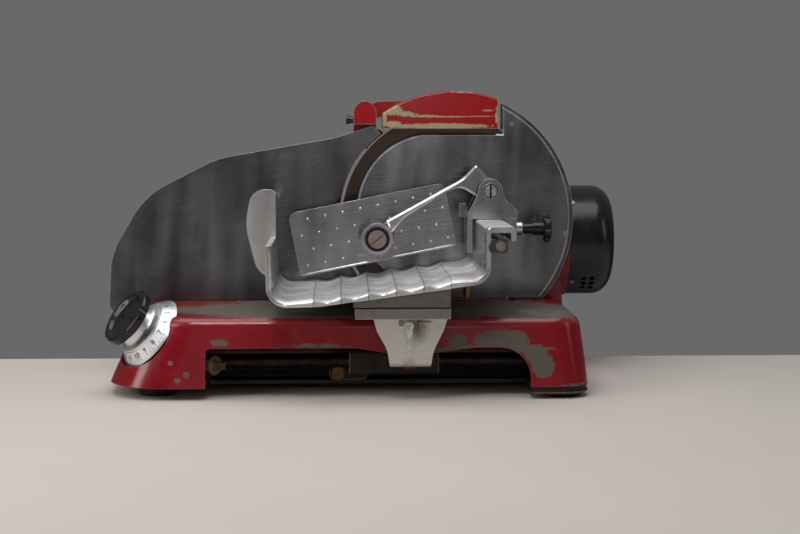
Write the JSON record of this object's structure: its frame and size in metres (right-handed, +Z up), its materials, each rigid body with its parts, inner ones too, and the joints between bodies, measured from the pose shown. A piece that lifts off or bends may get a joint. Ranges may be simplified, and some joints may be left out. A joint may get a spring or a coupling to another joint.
{
  "type": "electric food slicer with hand-pushed carriage",
  "caption": "Counter food slicer: round knife with cover and gauge plate, hand-pushed tray with pusher arm, thickness dial, sharpener hood and side motor on an arched base.",
  "frame": {"origin": "middle of the footprint box, on the surface the feet stand on", "axes": "+X along the carriage's travel to the operator's right, +Y away from the operator through the knife, +Z up"},
  "size_m": [0.6786, 0.422, 0.3754],
  "materials": {
    "red_enamel": "worn gloss enamel on cast aluminium",
    "polished_aluminium": "polished, scratched",
    "cast_aluminium": "satin casting",
    "knife_steel": "ground",
    "bright_steel": "turned",
    "black_plastic": "moulded gloss",
    "black_rubber": "matt",
    "bronze": "machined",
    "electrical_steel": "laminated",
    "abrasive": "bonded grit"
  },
  "bodies": {
    "frame": {"base_casting": "red_enamel", "bottom_cover": "cast_aluminium", "rubber_feet": "black_rubber", "foot_screws": "bright_steel", "gear_column": "red_enamel", "gear_case_cover": "red_enamel", "shaft_plug": "red_enamel", "blade_guard": "polished_aluminium", "blade_cover": "polished_aluminium", "cover_screws": "bright_steel", "motor_cover": "black_plastic", "stator": "electrical_steel", "motor_end_shield": "cast_aluminium", "bearings": "bright_steel", "sharpener_post": "red_enamel", "hinge_pin": "bright_steel", "slide_rod": "bright_steel", "rail_stud": "bright_steel", "guide_track": "cast_aluminium", "dial_bush": "bronze", "slice_deflector": "polished_aluminium", "switch_body": "black_plastic", "cable_gland": "black_plastic"},
    "blade": {"blade": "knife_steel", "blade_hub": "bright_steel", "blade_screws": "bright_steel", "spindle": "bright_steel", "worm_wheel": "bronze"},
    "motor_rotor": {"worm": "bright_steel", "rotor_shaft": "bright_steel", "rotor_core": "electrical_steel", "fan": "black_plastic"},
    "gauge": {"gauge_plate": "polished_aluminium", "gauge_bracket": "cast_aluminium", "gauge_rod": "bright_steel", "gauge_screws": "bright_steel"},
    "dial": {"dial_skirt": "polished_aluminium", "dial_knob": "black_plastic", "dial_shaft": "bright_steel"},
    "switch": {"switch_knob": "black_plastic"},
    "sharpener": {"sharpener_cover": "red_enamel", "stone_axles": "bright_steel"},
    "grinding_stone": {"grinding_stone": "abrasive"},
    "honing_stone": {"honing_stone": "abrasive"},
    "latch_button": {"latch_button": "black_plastic"},
    "carriage": {"carriage_slide": "cast_aluminium", "support_arm": "cast_aluminium", "carriage_bolts": "bright_steel", "lower_plate": "polished_aluminium"},
    "guide_roller": {"guide_roller": "bright_steel"},
    "clamp_lever": {"clamp_lever": "bright_steel"},
    "tray": {"tray": "polished_aluminium", "pusher_rod": "bright_steel"},
    "saddle": {"saddle": "polished_aluminium", "pivot_screw": "bright_steel"},
    "lock_knob": {"lock_knob": "black_plastic"},
    "pusher_arm": {"pusher_arm": "polished_aluminium"},
    "pusher": {"pusher_plate": "polished_aluminium", "pusher_hub": "bright_steel"}
  },
  "joints": [
    {"name": "blade_spin", "type": "hinge", "parent": "frame", "child": "blade", "pos_m": [0.1045, 0.035, 0.2094], "axis": [0, 1, 0], "continuous": true},
    {"name": "motor_spin", "type": "hinge", "parent": "frame", "child": "motor_rotor", "pos_m": [0.1045, 0.135, 0.172], "axis": [1, 0, 0], "continuous": true},
    {"name": "gauge_slide", "type": "slide", "parent": "frame", "child": "gauge", "axis": [0, 1, 0], "range_m": [0, 0.015]},
    {"name": "dial_turn", "type": "hinge", "parent": "frame", "child": "dial", "pos_m": [-0.2665, -0.115, 0.074], "axis": [-0.6999, -0.4099, 0.5849], "range_deg": [0, 330]},
    {"name": "switch_turn", "type": "hinge", "parent": "frame", "child": "switch", "pos_m": [0.2045, 0.156, 0.046], "axis": [0, 1, 0], "range_deg": [0, 90]},
    {"name": "sharpener_open", "type": "hinge", "parent": "frame", "child": "sharpener", "pos_m": [-0.0015, 0.035, 0.347], "axis": [0, -1, 0], "range_deg": [0, 75]},
    {"name": "grinding_stone_spin", "type": "hinge", "parent": "sharpener", "child": "grinding_stone", "pos_m": [0.0845, 0.035, 0.3585], "axis": [0, 1, 0], "continuous": true},
    {"name": "honing_stone_spin", "type": "hinge", "parent": "sharpener", "child": "honing_stone", "pos_m": [0.1265, 0.035, 0.3585], "axis": [0, 1, 0], "continuous": true},
    {"name": "latch_press", "type": "slide", "parent": "frame", "child": "latch_button", "axis": [1, 0, 0], "range_m": [0, 0.004], "stiffness_N_per_m": 400, "springref_m": -0.001},
    {"name": "carriage_slide", "type": "slide", "parent": "frame", "child": "carriage", "axis": [1, 0, 0], "range_m": [-0.14, 0.105]},
    {"name": "roller_spin", "type": "hinge", "parent": "carriage", "child": "guide_roller", "pos_m": [-0.0375, -0.084, 0.0233], "axis": [0, 1, 0], "continuous": true},
    {"name": "lever_turn", "type": "hinge", "parent": "carriage", "child": "clamp_lever", "pos_m": [0.0475, -0.191, 0.094], "axis": [0, 1, 0], "range_deg": [0, 60]},
    {"name": "tray_slide", "type": "slide", "parent": "carriage", "child": "tray", "axis": [0, -1, 0], "range_m": [0, 0.05]},
    {"name": "saddle_slide", "type": "slide", "parent": "tray", "child": "saddle", "axis": [0, -1, 0], "range_m": [0, 0.13]},
    {"name": "lock_turn", "type": "hinge", "parent": "saddle", "child": "lock_knob", "pos_m": [0.2045, -0.035, 0.199], "axis": [1, 0, 0], "range_deg": [0, 180]},
    {"name": "pusher_swing", "type": "hinge", "parent": "saddle", "child": "pusher_arm", "pos_m": [0.1555, 0.035, 0.248], "axis": [0, 1, 0], "range_deg": [0, 100]},
    {"name": "plate_swivel", "type": "hinge", "parent": "pusher_arm", "child": "pusher", "pos_m": [0.0125, 0.035, 0.187], "axis": [0, 1, 0], "range_deg": [0, 5]}
  ],
  "couplings": [
    {"joint": "motor_spin", "follows": "blade_spin", "ratio": 6},
    {"joint": "dial_turn", "follows": "gauge_slide", "rad_per_m": 383.97}
  ]
}
